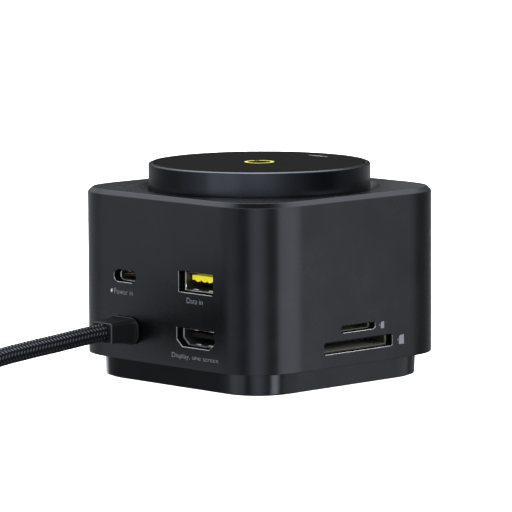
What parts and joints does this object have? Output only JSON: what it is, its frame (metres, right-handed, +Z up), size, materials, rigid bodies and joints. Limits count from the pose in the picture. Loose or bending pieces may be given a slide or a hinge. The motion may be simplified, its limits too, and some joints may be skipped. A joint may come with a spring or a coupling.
{
  "type": "laptop docking station",
  "caption": "Block-shaped laptop docking station with rear ports, side card slots, a captive braided host cable and a round charging head that tilts up out of its deck.",
  "frame": {"origin": "middle of the resting face under the rubber foot", "axes": "+Z up out of the charging face; +Y towards the rear face with the video, data and power ports and the captive cable; -X towards the face with the memory card slots; -Y is the plain front, where the hinge of the charging head is"},
  "size_m": [0.1096, 0.1812, 0.057],
  "materials": {
    "housing": "satin dark grey anodised",
    "plinth": "satin dark grey anodised",
    "disc_metal": "satin dark grey anodised, machined rim",
    "disc_face": "matt black, smooth",
    "black_plastic": "moulded, fine grain",
    "strain_relief": "moulded thermoplastic rubber, satin",
    "yellow_plastic": "moulded yellow",
    "rubber": "matt",
    "tie": "hook-and-loop strap",
    "braid": "black and charcoal braided sleeve",
    "connector_steel": "bright nickel plated",
    "dark_steel": "dull plated",
    "heavy_iron": "blackened",
    "heat_sink": "milled",
    "screw_steel": "zinc plated",
    "brass": "turned",
    "board": "solder resist",
    "copper": "enamelled copper wire",
    "ferrite": "sintered ferrite"
  },
  "bodies": {
    "base": {"housing_shell": "housing", "base_plinth": "plinth", "well_tray": "black_plastic", "usb_c_tongue": "black_plastic", "video_tongue": "black_plastic", "card_reader_base": "black_plastic", "micro_reader_base": "black_plastic", "hub_chip": "black_plastic", "strain_relief": "strain_relief", "plug_grip": "strain_relief", "usb_a_tongue": "yellow_plastic", "rubber_foot": "rubber", "cord_tie": "tie", "host_cord": "braid", "cord_coil": "braid", "cord_tail": "braid", "usb_c_shell": "connector_steel", "usb_a_shell": "connector_steel", "video_shell": "connector_steel", "plug_shell": "connector_steel", "hinge_pin": "connector_steel", "cord_clamp": "connector_steel", "card_reader_cover": "dark_steel", "micro_reader_cover": "dark_steel", "hinge_knuckle": "dark_steel", "ballast_plate": "heavy_iron", "heat_spreader": "heat_sink", "tray_screw_1": "screw_steel", "tray_screw_2": "screw_steel", "tray_screw_3": "screw_steel", "tray_screw_4": "screw_steel", "base_screw_1": "screw_steel", "base_screw_2": "screw_steel", "base_screw_3": "screw_steel", "base_screw_4": "screw_steel", "board_screw_1": "screw_steel", "board_screw_2": "screw_steel", "board_screw_3": "screw_steel", "board_screw_4": "screw_steel", "friction_washer_right": "brass", "friction_washer_left": "brass", "board_spacer_1": "brass", "board_spacer_2": "brass", "board_spacer_3": "brass", "board_spacer_4": "brass", "main_board": "board", "upper_board": "board", "charger_board": "board", "power_inductor": "ferrite"},
    "charging_head": {"disc_ring": "disc_metal", "disc_face": "disc_face", "charging_coil": "copper", "ferrite_sheet": "ferrite", "magnet_ring": "dark_steel", "disc_base": "black_plastic", "disc_screw_1": "screw_steel", "disc_screw_2": "screw_steel", "disc_screw_3": "screw_steel"}
  },
  "joints": [
    {"name": "head_tilt", "type": "hinge", "parent": "base", "child": "charging_head", "pos_m": [0, -0.027, 0.0516], "axis": [1, 0, 0], "range_deg": [0, 45]}
  ]
}
